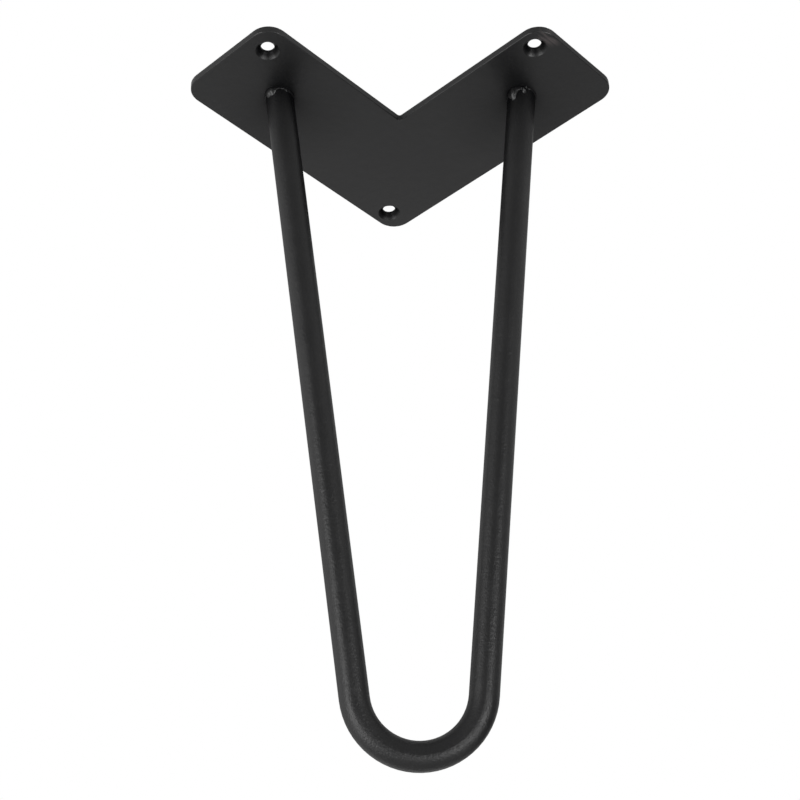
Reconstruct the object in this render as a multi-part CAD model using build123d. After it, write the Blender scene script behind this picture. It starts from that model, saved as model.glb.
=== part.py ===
# Short two-rod hairpin table leg: a bent round bar welded under a right-angled mounting plate.
# Millimetres, +Z up. The origin is on the plate's top face, where the centrelines of its two arms cross.
# +Y points to the plate's outer corner, and the two arms run back from it to -X and +X.
import os
from math import acos, atan2, ceil, cos, hypot, radians, sin, sqrt, tan

from build123d import *

# Whole leg
leg_height = 250.0                  # from the plate's top face to the lowest point of the bar
splay_angle = 17.5                  # degrees that the hairpin leans from the vertical, towards the corner

# Mounting plate, cut from sheet
arm_length = 120.0                  # along the outer edge, from the sharp corner to the arm's end
arm_width = 48.0
plate_thickness = 3.0
corner_radius = 8.0
notch_radius = 1.0                  # inside corner between the arms
edge_round = 0.4                    # tumbled edges of both faces

# Screw holes, countersunk from the underside for 5 mm wood screws. They are punched one by one,
# so each has its own place.
hole_diameter = 5.2
countersink_diameter = 9.2
countersink_angle = 90.0
left_hole_from_end = 8.9
left_hole_from_inner_edge = 9.6
right_hole_from_end = 8.9
right_hole_from_inner_edge = 7.5
corner_hole_from_corner = 12.4      # from the sharp outer corner, along the plate's axis of symmetry
corner_hole_off_axis = 2.3          # to the left

# Bent bar
bar_diameter = 11.0
bend_radius = 23.0                  # to the bar's centreline
bar_from_arm_end = 29.5             # where the bar's centreline meets the plate
bar_from_outer_edge = 23.5

# Weld beads
bead_crest = 0.8                    # how far a ripple of the bead stands out from the bar
bead_valley = 0.35                  # the same between two ripples
bead_bite = 1.2                     # depth of the bead's middle line inside the bar's surface

# Places that follow from the sizes above
underside = -plate_thickness
arm_end = arm_length - arm_width / 2
outer_corner = arm_width / sqrt(2)


def on_arm(side, from_end, from_outer_edge):
    """A point of the plate's plane, measured from an arm's end and from its outer edge.

    side is -1 for the left arm and +1 for the right arm.
    """
    along = arm_end - from_end
    across = from_outer_edge - arm_width / 2
    return (side * (along - across) / sqrt(2), -(along + across) / sqrt(2))


def make_plate():
    """Chevron blank with rounded corners and edges, and its three screw holes."""
    notch = (0, -outer_corner)
    blank = make_face(
        Polyline(
            (0, outer_corner),
            on_arm(1, 0, 0),
            on_arm(1, 0, arm_width),
            notch,
            on_arm(-1, 0, arm_width),
            on_arm(-1, 0, 0),
            close=True,
        )
    )
    outside_corners = blank.vertices().sort_by_distance(notch)[1:]
    blank = fillet(outside_corners, corner_radius)
    inside_corner = blank.vertices().sort_by_distance(notch)[0]
    blank = fillet(inside_corner, notch_radius)

    plate = extrude(blank, -plate_thickness)
    faces = plate.faces().sort_by(Axis.Z)
    plate = fillet(faces[0].edges() + faces[-1].edges(), edge_round)

    hole_places = [
        on_arm(-1, left_hole_from_end, arm_width - left_hole_from_inner_edge),
        on_arm(1, right_hole_from_end, arm_width - right_hole_from_inner_edge),
        (-corner_hole_off_axis, outer_corner - corner_hole_from_corner),
    ]
    for x, y in hole_places:
        plate -= Pos(x, y) * make_hole_cutter()
    return plate


def make_hole_cutter():
    """Solid of one screw hole: a straight hole, and a cone that opens at the underside."""
    hole_radius = hole_diameter / 2
    mouth_radius = countersink_diameter / 2
    cone_depth = (mouth_radius - hole_radius) / tan(radians(countersink_angle / 2))
    profile = Polyline(
        (0, 0),
        (hole_radius, 0),
        (hole_radius, underside + cone_depth),
        (mouth_radius, underside),
        (0, underside),
        close=True,
    )
    return revolve(Plane.XZ * make_face(profile), Axis.Z)


def bent_bar(diameter):
    """A round bar bent once to a U in a leaning plane, with both ends cut flat on the underside."""
    lean = radians(splay_angle)
    foot_drop = leg_height - plate_thickness - bar_diameter / 2
    leaning_length = foot_drop / cos(lean)
    bar_x, bar_y = on_arm(1, bar_from_arm_end, bar_from_outer_edge)

    # In the leaning plane the ends are on y = 0, and the bend is centred on the middle line below them
    bend_depth = leaning_length - bend_radius
    touch_angle = atan2(bend_depth, bar_x) - acos(bend_radius / hypot(bend_depth, bar_x))
    touch = Vector(bend_radius * cos(touch_angle), bend_radius * sin(touch_angle) - bend_depth)
    leg = Vector(bar_x, 0) - touch
    end = touch + leg + leg.normalized() * diameter
    path = Line(end, touch)
    path += ThreePointArc(touch, (0, -leaning_length), (-touch.X, touch.Y))
    path += Line((-touch.X, touch.Y), (-end.X, end.Y))

    leaning_plane = Plane(origin=(0, bar_y, underside), x_dir=(1, 0, 0), z_dir=(0, -cos(lean), -sin(lean)))
    path = leaning_plane * path
    section = Plane(origin=path @ 0, z_dir=path % 0) * Circle(diameter / 2)
    long_bar = sweep(section, path=path)
    return split(long_bar, bisect_by=Plane.XY.offset(underside), keep=Keep.BOTTOM)


def make_bead(bar, side):
    """Rippled weld bead around one end of the bar, in the corner between the bar and the plate."""
    thinner_bar = bent_bar(bar_diameter - 2 * bead_bite)
    ends = thinner_bar.faces().filter_by(Axis.Z).sort_by(Axis.X)
    middle_line = (ends[0] if side < 0 else ends[-1]).edges()[0]
    ripple_radius = bead_crest + bead_bite
    ripple_pitch = 2 * sqrt(ripple_radius**2 - (bead_valley + bead_bite) ** 2)
    ripples = ceil(middle_line.length / ripple_pitch)
    metal = Part() + [Pos(middle_line @ (i / ripples)) * Sphere(ripple_radius) for i in range(ripples)]
    metal = split(metal, bisect_by=Plane.XY.offset(underside), keep=Keep.BOTTOM)
    return metal - bar


hairpin_rod = bent_bar(bar_diameter)
parts = {
    "mounting_plate": make_plate(),
    "hairpin_rod": hairpin_rod,
    "left_weld_bead": make_bead(hairpin_rod, -1),
    "right_weld_bead": make_bead(hairpin_rod, 1),
}

os.makedirs("parts", exist_ok=True)
for node, shape in parts.items():
    export_step(shape, f"parts/{node}.step")
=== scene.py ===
from math import acos, cos, exp, pi, radians, sin

import bpy
from mathutils import Matrix, Vector, noise


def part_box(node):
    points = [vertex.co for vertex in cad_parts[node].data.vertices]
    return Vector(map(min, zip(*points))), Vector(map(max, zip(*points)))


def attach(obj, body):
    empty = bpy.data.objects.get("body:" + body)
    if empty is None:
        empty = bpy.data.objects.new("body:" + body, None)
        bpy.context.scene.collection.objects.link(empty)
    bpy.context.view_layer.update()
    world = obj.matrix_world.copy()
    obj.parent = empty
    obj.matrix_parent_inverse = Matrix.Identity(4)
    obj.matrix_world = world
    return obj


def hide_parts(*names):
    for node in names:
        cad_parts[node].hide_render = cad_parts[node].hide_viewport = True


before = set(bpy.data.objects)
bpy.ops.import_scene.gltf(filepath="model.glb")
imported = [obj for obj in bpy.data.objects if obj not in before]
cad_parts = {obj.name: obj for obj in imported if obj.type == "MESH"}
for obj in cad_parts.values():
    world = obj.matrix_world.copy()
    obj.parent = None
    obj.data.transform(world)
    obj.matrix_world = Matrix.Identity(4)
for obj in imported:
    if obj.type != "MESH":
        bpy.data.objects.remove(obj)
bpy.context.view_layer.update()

# Mounting plate: a right-angled chevron cut from 3 mm steel sheet, with three countersunk screw holes.
# It was tumbled, welded to the bar and then powder coated, so the coat runs over its rounded edges.
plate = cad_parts["mounting_plate"]
mm = 0.001


def linear(hex_colour):
    """Linear RGBA of an sRGB hex colour."""
    channels = [int(hex_colour[i : i + 2], 16) / 255 for i in (1, 3, 5)]
    return [c / 12.92 if c <= 0.04045 else ((c + 0.055) / 1.055) ** 2.4 for c in channels] + [1.0]


def add(tree, kind, inputs=None, **settings):
    """Adds a node with its settings. An input is a value, or the output socket that feeds it."""
    made = tree.nodes.new(kind)
    for name, value in settings.items():
        setattr(made, name, value)
    for name, value in (inputs or {}).items():
        if isinstance(value, bpy.types.NodeSocket):
            tree.links.new(value, made.inputs[name])
        else:
            made.inputs[name].default_value = value
    return made


def powder_coat(name, satin, grain_depth, peel_depth, corner_size, shaded_corner_gloss):
    """Black polyester powder coat, sprayed and baked: a deep satin black that scatters soft light.

    The melted powder leaves a fine grain, with a slow orange peel under it. The grain shows as a
    sparkle in the highlights, and the peel breaks up long reflections. Inside corners carry painted
    shade: their gloss is turned down as the ambient occlusion closes them in, so they look darker.
    """
    black, worn_black = "#070708", "#0c0c0d"
    cloud_size = 14 * mm
    peel_size = 3.5 * mm
    grain_size = 0.8 * mm               # drawn coarser than the real 0.2 mm or so, to show in the picture
    satin_spread = 0.04                 # of the roughness, to both sides, over the clouds
    open_gloss = 0.5                    # on a face with nothing near it
    material = bpy.data.materials.new(name)
    material.use_nodes = True
    tree = material.node_tree
    shader = tree.nodes["Principled BSDF"]
    place = add(tree, "ShaderNodeTexCoord").outputs["Object"]

    clouds = add(tree, "ShaderNodeTexNoise", {"Vector": place, "Scale": 1 / cloud_size, "Detail": 3.0})
    colour = add(
        tree,
        "ShaderNodeMix",
        {"Factor": clouds.outputs["Fac"], "A": linear(black), "B": linear(worn_black)},
        data_type="RGBA",
    )
    grain = add(tree, "ShaderNodeTexNoise", {"Vector": place, "Scale": 1 / grain_size, "Detail": 2.0})
    peel = add(tree, "ShaderNodeTexNoise", {"Vector": place, "Scale": 1 / peel_size, "Detail": 1.0})
    peel_bump = add(
        tree,
        "ShaderNodeBump",
        {"Height": peel.outputs["Fac"], "Distance": peel_depth, "Strength": 1.0},
    )
    grain_bump = add(
        tree,
        "ShaderNodeBump",
        {
            "Height": grain.outputs["Fac"],
            "Distance": grain_depth,
            "Strength": 1.0,
            "Normal": peel_bump.outputs["Normal"],
        },
        name="grain",
    )
    roughness = add(
        tree,
        "ShaderNodeMapRange",
        {
            "Value": clouds.outputs["Fac"],
            "From Min": 0.3,
            "From Max": 0.7,
            "To Min": satin - satin_spread,
            "To Max": satin + satin_spread,
        },
    )
    # Painted shade in inside corners: the ambient occlusion turns the gloss down there
    corner_shade = add(tree, "ShaderNodeAmbientOcclusion", {"Distance": corner_size}, samples=8)
    gloss = add(
        tree,
        "ShaderNodeMapRange",
        {
            "Value": corner_shade.outputs["AO"],
            "From Min": 0.5,
            "From Max": 1.0,
            "To Min": shaded_corner_gloss,
            "To Max": open_gloss,
        },
    )
    tree.links.new(colour.outputs["Result"], shader.inputs["Base Color"])
    tree.links.new(gloss.outputs["Result"], shader.inputs["Specular IOR Level"])
    tree.links.new(roughness.outputs["Result"], shader.inputs["Roughness"])
    tree.links.new(grain_bump.outputs["Normal"], shader.inputs["Normal"])
    return material


def finish_with(piece, material):
    """Gives a piece one material on its own slots, and leaves its mesh as it is."""
    if not piece.material_slots:
        piece.data.materials.append(None)
    for slot in piece.material_slots:
        slot.link = "OBJECT"
        slot.material = material


sheet_coat = powder_coat(
    "powder_coated_sheet",
    satin=0.34,
    grain_depth=0.02 * mm,
    peel_depth=0.05 * mm,
    # painted shade: the plate's gloss falls towards 0.1 in its corners with the bars
    corner_size=30 * mm,
    shaded_corner_gloss=0.1,
)
tree = sheet_coat.node_tree
place = tree.nodes["Texture Coordinate"].outputs["Object"]

# Painted shade down in the screw holes too: the gloss is turned down there, so the countersinks reflect less
# and look darker
hole_middles = [(-51.4, -71.8, -3), (49.9, -73.3, -3), (-2.3, 21.5, -3)]
dull_radius = 3.6 * mm
glossy_radius = 4.3 * mm
dull_share = 0.25
gloss = tree.nodes["Principled BSDF"].inputs["Specular IOR Level"]
for hole_middle in hole_middles:
    away = add(tree, "ShaderNodeVectorMath", {0: place, 1: Vector(hole_middle) * mm}, operation="DISTANCE")
    hole_shade = add(
        tree,
        "ShaderNodeMapRange",
        {
            "Value": away.outputs["Value"],
            "From Min": dull_radius,
            "From Max": glossy_radius,
            "To Min": dull_share,
            "To Max": 1.0,
        },
    )
    shaded_hole_gloss = add(
        tree,
        "ShaderNodeMath",
        {0: gloss.links[0].from_socket, 1: hole_shade.outputs["Result"]},
        operation="MULTIPLY",
    )
    tree.links.new(shaded_hole_gloss.outputs["Value"], gloss)

# Rub marks on the underside by the right arm's inner corner: streaks along the arm's end that scatter a
# brownish light. They stop short of the top face.
rub_colour = "#3e3838"
rub_middle = Vector((55.5, -79.0, -3)) * mm
rub_radius = 6 * mm
streak_size = Vector((9, 1.1, 9)) * mm
streak_turn = radians(42)
colour = tree.nodes["Principled BSDF"].inputs["Base Color"]
away = add(tree, "ShaderNodeVectorMath", {0: place, 1: rub_middle}, operation="DISTANCE")
rubbed = add(
    tree,
    "ShaderNodeMapRange",
    {
        "Value": away.outputs["Value"],
        "From Min": 0.4 * rub_radius,
        "From Max": rub_radius,
        "To Min": 1.0,
        "To Max": 0.0,
    },
)
along_end = add(
    tree,
    "ShaderNodeMapping",
    {"Vector": place, "Rotation": (0, 0, streak_turn), "Scale": streak_size},
    vector_type="TEXTURE",
)
streaks = add(
    tree,
    "ShaderNodeTexNoise",
    {"Vector": along_end.outputs["Vector"], "Scale": 1.0, "Detail": 1.0},
)
streak = add(
    tree,
    "ShaderNodeMapRange",
    {"Value": streaks.outputs["Fac"], "From Min": 0.42, "From Max": 0.6},
)
rub = add(
    tree,
    "ShaderNodeMath",
    {0: rubbed.outputs["Result"], 1: streak.outputs["Result"]},
    operation="MULTIPLY",
)
height = add(tree, "ShaderNodeSeparateXYZ", {"Vector": place})
below_top = add(
    tree,
    "ShaderNodeMapRange",
    {
        "Value": height.outputs["Z"],
        "From Min": -1.5 * mm,
        "From Max": -0.5 * mm,
        "To Min": 1.0,
        "To Max": 0.0,
    },
)
underside_rub = add(
    tree,
    "ShaderNodeMath",
    {0: rub.outputs["Value"], 1: below_top.outputs["Result"]},
    operation="MULTIPLY",
)
rubbed_colour = add(
    tree,
    "ShaderNodeMix",
    {"Factor": underside_rub.outputs["Value"], "A": colour.links[0].from_socket, "B": linear(rub_colour)},
    data_type="RGBA",
)
tree.links.new(rubbed_colour.outputs["Result"], colour)
finish_with(plate, sheet_coat)

# Hairpin rod: one 11 mm round steel bar, bent cold to a U, with both ends cut at a slant to sit flat under
# the plate. It was welded there, and the coat on it is grainier than on the sheet.
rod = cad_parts["hairpin_rod"]
leg_grain_depth = 0.12 * mm
bend_grain_depth = 0.18 * mm            # bending stretched the bar's skin, so its grain is deeper there
bend_level = -246 * mm
leg_level = -232 * mm
bar_coat = powder_coat(
    "powder_coated_bar",
    satin=0.4,
    grain_depth=leg_grain_depth,
    peel_depth=0.1 * mm,
    # painted shade: the bars lose all their gloss in their corners with the plate
    corner_size=45 * mm,
    shaded_corner_gloss=0.0,
)
tree = bar_coat.node_tree
place = tree.nodes["Texture Coordinate"].outputs["Object"]
height = add(tree, "ShaderNodeSeparateXYZ", {"Vector": place})
depth = add(
    tree,
    "ShaderNodeMapRange",
    {
        "Value": height.outputs["Z"],
        "From Min": bend_level,
        "From Max": leg_level,
        "To Min": bend_grain_depth,
        "To Max": leg_grain_depth,
    },
)
tree.links.new(depth.outputs["Result"], tree.nodes["grain"].inputs["Distance"])
finish_with(rod, bar_coat)

# Weld beads: steel run by hand round each end of the bar, in its corner with the plate, and coated with it.
# Each is a closed ring that bites into the bar and the plate. The coat has softened its ripples, and a few
# lumps show where the torch paused.
bead_reach = 0.3 * mm               # out from the bar, along the plate
bead_drop = 0.8 * mm                # down the bar from the plate
bead_bite = 0.15 * mm               # of its hidden sides into the bar and the plate
ripple_count = 11
ripple_height = 0.06 * mm
ripple_drift = 2                    # radians that the ripples stray
wobble_height = 0.2 * mm            # slow unevenness of the bead's width
rough_height = 0.1 * mm             # bumps of its skin
rough_size = 0.9 * mm
lump_reach = 0.35                   # of a lump's drop, added to the bead's reach
glossy_lump = 1.2 * mm              # drop at which a lump has its full gloss
gloss_from = 0.2                    # share of the way from the plate to the bar where that gloss sets in
gloss_rise = 3                      # its growth over the rest of the way
steps_around = 220
steps_across = 14
bead_coat = powder_coat(
    "powder_coated_weld",
    satin=0.3,
    grain_depth=0.02 * mm,
    peel_depth=0.03 * mm,
    # painted shade: the beads lose all their gloss in their corners, except where the lumps lift it
    corner_size=30 * mm,
    shaded_corner_gloss=0.0,
)

# Painted highlight on the lumps: the painted corner shade is lifted there, up to full gloss, so they glint
tree = bead_coat.node_tree
gloss = tree.nodes["Principled BSDF"].inputs["Specular IOR Level"]
on_lumps = add(tree, "ShaderNodeAttribute", attribute_name="lump_gloss")
higher_gloss = add(
    tree,
    "ShaderNodeMath",
    {0: gloss.links[0].from_socket, 1: on_lumps.outputs["Fac"]},
    operation="MAXIMUM",
)
tree.links.new(higher_gloss.outputs["Value"], gloss)


def bearing_from(bearing, other):
    """Degrees from one bearing round a bar to another."""
    return (bearing - other + 180) % 360 - 180


def make_bead(node, seed, lumps, ridges):
    """A weld bead in the place of a CAD one.

    A lump has a bearing, half a spread and an added drop, which is negative where the bead is thin. A ridge
    has its bearings at the plate and at the bead's lower edge, half a spread and a height, which is negative
    for a groove. Bearings are in degrees from the bar's front to the right.
    """
    low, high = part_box(node)
    seam_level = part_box("mounting_plate")[0].z
    corners = rod.data.vertices
    rim = {v.index for v in corners if abs(v.co.z - seam_level) < 0.01 * mm and low.x < v.co.x < high.x}
    runs = [edge.vertices for edge in rod.data.edges if len(rim.intersection(edge.vertices)) == 1]
    ends = [sorted((corners[a].co, corners[b].co), key=lambda end: end.z) for a, b in runs]
    bar_axis = sum((lower - upper for lower, upper in ends), Vector()).normalized()
    spread = [[corners[i].co[k] for i in rim] for k in (0, 1)]
    middle = Vector([(min(places) + max(places)) / 2 for places in spread] + [seam_level])
    bar_radius = (max(spread[0]) - min(spread[0])) / 2
    front = (Vector((0, -1, 0)) + bar_axis * bar_axis.y).normalized()
    right = front.cross(bar_axis)

    points, lump_gloss = [], []
    for i in range(steps_around):
        bearing = 360 * i / steps_around
        radial = front * cos(radians(bearing)) + right * sin(radians(bearing))
        seam = middle + bar_radius * (radial - bar_axis * radial.z / bar_axis.z)
        out = Vector((radial.x, radial.y, 0)).normalized()
        lump = 0
        for lump_bearing, lump_spread, lump_drop in lumps:
            lump += lump_drop * exp(-((bearing_from(bearing, lump_bearing) / lump_spread) ** 4))
        drop = bead_drop + lump
        drop += wobble_height * noise.noise(4 * radial + Vector((0, 0, seed)))
        drop += ripple_height * cos(radians(ripple_count * bearing) + ripple_drift * noise.noise(3 * radial))
        reach = bead_reach + lump_reach * lump
        inside = (drop**2 - reach**2) / (2 * reach)
        radius = inside + reach
        points.append(seam - out * bead_bite + Vector((0, 0, bead_bite)))
        points.append(seam + out * reach + Vector((0, 0, bead_bite)))
        lump_gloss += [0.0, 0.0]
        for j in range(steps_across):
            share = j / (steps_across - 1)
            turn = share * acos(inside / radius)
            skin = seam + out * (radius * cos(turn) - inside) + bar_axis * radius * sin(turn)
            bump = rough_height * noise.noise(skin / rough_size)
            for at_plate, at_bar, ridge_spread, ridge_height in ridges:
                off = bearing_from(bearing, at_plate + share * (at_bar - at_plate))
                bump += ridge_height * exp(-((off / ridge_spread) ** 2))
            points.append(skin + bump * sin(pi * share) * (out * cos(turn) + bar_axis * sin(turn)))
            # painted highlight: a gloss share that lifts the painted corner shade on the lumps
            how_lumpy = min(1, max(0, lump / glossy_lump))
            how_far = min(1, max(0, gloss_rise * (share - gloss_from)))
            lump_gloss.append(0.5 * how_lumpy * how_far)
        points.append(seam - out * bead_bite + bar_axis * drop)
        lump_gloss.append(0.0)
    ring = steps_across + 3
    faces = []
    for i in range(steps_around):
        for j in range(ring):
            here, after = i * ring, (i + 1) % steps_around * ring
            beside = (j + 1) % ring
            faces.append((here + j, after + j, after + beside, here + beside))
    mesh = bpy.data.meshes.new(f"visible_{node}")
    mesh.from_pydata(points, [], faces)
    mesh.shade_smooth()
    mesh.attributes.new("lump_gloss", "FLOAT", "POINT").data.foreach_set("value", lump_gloss)
    bead = bpy.data.objects.new(f"visible_{node}", mesh)
    bpy.context.scene.collection.objects.link(bead)
    finish_with(bead, bead_coat)
    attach(bead, "root")
    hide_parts(node)


left_lumps = [(-40, 25, 1.9 * mm), (8, 24, -0.4 * mm), (27, 6, 0.5 * mm)]
make_bead("left_weld_bead", 3, left_lumps, [])
right_lumps = [(-42, 23, 2.1 * mm), (-36, 13, 1.6 * mm), (8, 11, 1.7 * mm), (40, 24, -0.3 * mm)]
right_ridges = [(-4, 12, 5, 0.35 * mm), (8, 24, 4, -0.3 * mm)]
make_bead("right_weld_bead", 8, right_lumps, right_ridges)

# Floor: plain pale studio floor, far enough down that the camera can look up at the leg from any side.
# Its matt white paint scatters light evenly, and fades out towards the rim, so that it has no hard horizon.
floor_drop = 0.9
floor_radius = 1.7
bpy.ops.mesh.primitive_circle_add(
    vertices=96, radius=floor_radius, fill_type="NGON", location=(0, 0, -floor_drop)
)
floor = bpy.context.object
floor.name = "floor"
floor_paint = bpy.data.materials.new("matt_white_floor_paint")
floor_paint.use_nodes = True
tree = floor_paint.node_tree
floor_shader = tree.nodes["Principled BSDF"]
floor_shader.inputs["Base Color"].default_value = linear("#f6f6f6")
floor_shader.inputs["Roughness"].default_value = 0.8
from_middle = add(
    tree,
    "ShaderNodeVectorMath",
    {0: add(tree, "ShaderNodeTexCoord").outputs["Object"]},
    operation="LENGTH",
)
fade = add(
    tree,
    "ShaderNodeMapRange",
    {
        "Value": from_middle.outputs["Value"],
        "From Min": 0.7 * floor_radius,
        "From Max": 0.98 * floor_radius,
        "To Min": 1.0,
        "To Max": 0.0,
    },
    interpolation_type="SMOOTHSTEP",
)
tree.links.new(fade.outputs["Result"], floor_shader.inputs["Alpha"])
floor.data.materials.append(floor_paint)

# Light: a studio of dim walls, with a bright wall on the left, strips and fills beside and below the camera,
# and dark cards that keep the middle of the bars and the plate's right edges dark. The camera sees past
# them all to the white behind, and the leg's coat reflects them.
world = bpy.data.worlds.new("white_backdrop")
world.use_nodes = True
world.node_tree.nodes["Background"].inputs["Color"].default_value = linear("#ffffff")
world.node_tree.nodes["Background"].inputs["Strength"].default_value = 1.0
bpy.context.scene.world = world
leg_middle = Vector((0, 0, -0.125))


def light_up(piece, name, glow):
    """Makes a stage piece a sheet of lit diffuser: an even light that the camera doesn't see."""
    diffuser = bpy.data.materials.new(f"{name}_diffuser")
    diffuser.use_nodes = True
    tree = diffuser.node_tree
    lit = add(tree, "ShaderNodeEmission", {"Strength": glow})
    tree.links.new(lit.outputs["Emission"], tree.nodes["Material Output"].inputs["Surface"])
    piece.name = name
    piece.visible_camera = False
    piece.data.materials.append(diffuser)


def light_panel(name, azimuth, elevation, distance, width, height, glow):
    """A flat lit panel that faces the middle of the leg. Degrees from the camera side and up, and metres."""
    bpy.ops.mesh.primitive_plane_add(size=1)
    panel = bpy.context.object
    turn = Matrix.Rotation(radians(azimuth), 4, "Z") @ Matrix.Rotation(pi / 2 - radians(elevation), 4, "X")
    reach = Matrix.Translation((0, 0, distance))
    size = Matrix.Diagonal((width, height, 1, 1))
    panel.matrix_world = Matrix.Translation(leg_middle) @ turn @ reach @ size
    light_up(panel, name, glow)


bpy.ops.mesh.primitive_uv_sphere_add(segments=48, ring_count=24, radius=1.9, location=leg_middle)
light_up(bpy.context.object, "studio_walls", 0.53)
light_panel("left_strip", -55, -30, 1.1, 0.5, 0.95, 4.4)
light_panel("right_strip", 41, -32, 1.1, 0.3, 0.6, 7.0)
light_panel("left_fill", -37, -38, 1.1, 0.3, 0.35, 4.0)
light_panel("front_fill", 18, -38, 1.1, 0.45, 0.3, 3.2)
light_panel("dark_card", 0, -13, 1.3, 1.2, 0.4, 0.1)
light_panel("left_wall", -90, -10, 1.5, 1.7, 2.1, 1.05)
light_panel("camera_side_panel", 0, 16, 1.5, 3.0, 0.65, 0.46)
light_panel("right_low_panel", 105, -22, 1.4, 2.2, 1.0, 0.17)
light_panel("right_card", 102, 42, 1.3, 0.6, 0.45, 0.17)
light_panel("right_soft_panel", 75, 20, 1.35, 0.9, 0.3, 1.1)
light_panel("left_rim_strip", -88, -42, 1.2, 0.4, 0.25, 5.0)
light_panel("back_panel", 180, 26, 1.5, 1.8, 1.4, 0.3)
light_panel("back_low_panel", -159, -28, 1.1, 1.8, 0.5, 0.78)

# Camera: below the foot, in front of the plate's notch, looking up at its underside. Its place and lens were
# fitted to the outlines of the plate, its holes and the bars.
picture_size = 800                  # pixels, both ways
focal_length = 1692.5               # pixels
camera_azimuth = radians(3.897)     # turned to the right of +Y
camera_elevation = radians(34.5)    # looking up
camera_roll = radians(-2.878)
camera_distance = 659.9 * mm
camera_aim = Vector((-1.90, 18.64, -101.35)) * mm
camera = bpy.data.objects.new("camera", bpy.data.cameras.new("camera"))
bpy.context.scene.collection.objects.link(camera)
camera.data.lens = camera.data.sensor_width * focal_length / picture_size
turn = (
    Matrix.Rotation(-camera_azimuth, 4, "Z")
    @ Matrix.Rotation(pi / 2 + camera_elevation, 4, "X")
    @ Matrix.Rotation(camera_roll, 4, "Z")
)
camera.matrix_world = Matrix.Translation(camera_aim) @ turn @ Matrix.Translation((0, 0, camera_distance))
bpy.context.scene.camera = camera
bpy.context.scene.view_settings.view_transform = "Standard"
